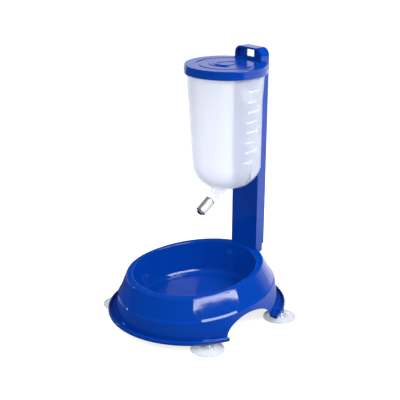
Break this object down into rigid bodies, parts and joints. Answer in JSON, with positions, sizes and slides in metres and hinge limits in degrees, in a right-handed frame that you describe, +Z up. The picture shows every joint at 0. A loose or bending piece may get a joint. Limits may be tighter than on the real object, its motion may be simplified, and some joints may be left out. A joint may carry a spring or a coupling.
{
  "type": "pet water dispenser",
  "caption": "Oval water bowl on suction cups with a post that carries an inverted water bottle, its press-on lid and a ball nozzle over the bowl.",
  "frame": {"origin": "on the floor under the middle of the base's outline, at the plane of the suction cups' lips", "axes": "+Z up along the post, -Y towards the bowl's front, +X to the right seen from the front; the post and bottle stand at +Y"},
  "size_m": [0.2052, 0.2266, 0.3198],
  "materials": {
    "blue_plastic": "glossy injection-moulded polypropylene, saturated blue",
    "bottle_plastic": "milky translucent polypropylene",
    "nozzle_steel": "drawn stainless steel, polished",
    "ball_steel": "polished stainless bearing ball",
    "black_rubber": "matt black rubber",
    "seal_rubber": "soft off-white silicone",
    "clear_vinyl": "clear soft vinyl, smooth"
  },
  "bodies": {
    "base": {"base_bowl": "blue_plastic", "post": "blue_plastic", "suction_cup_front_left": "clear_vinyl", "suction_cup_front_right": "clear_vinyl", "suction_cup_rear_left": "clear_vinyl", "suction_cup_rear_right": "clear_vinyl"},
    "bottle": {"bottle": "bottle_plastic", "nozzle_sleeve": "nozzle_steel", "nozzle_seal": "black_rubber"},
    "lid": {"lid": "blue_plastic", "lid_seal": "seal_rubber"},
    "ball": {"nozzle_ball": "ball_steel"}
  },
  "joints": [
    {"name": "bottle_lift", "type": "slide", "parent": "base", "child": "bottle", "axis": [0, 0, 1], "range_m": [0, 0.01]},
    {"name": "lid_lift", "type": "slide", "parent": "bottle", "child": "lid", "axis": [0, 0, 1], "range_m": [0, 0.04]},
    {"name": "ball_push", "type": "slide", "parent": "bottle", "child": "ball", "axis": [0, 0.8387, 0.5446], "range_m": [0, 0.0022]}
  ]
}
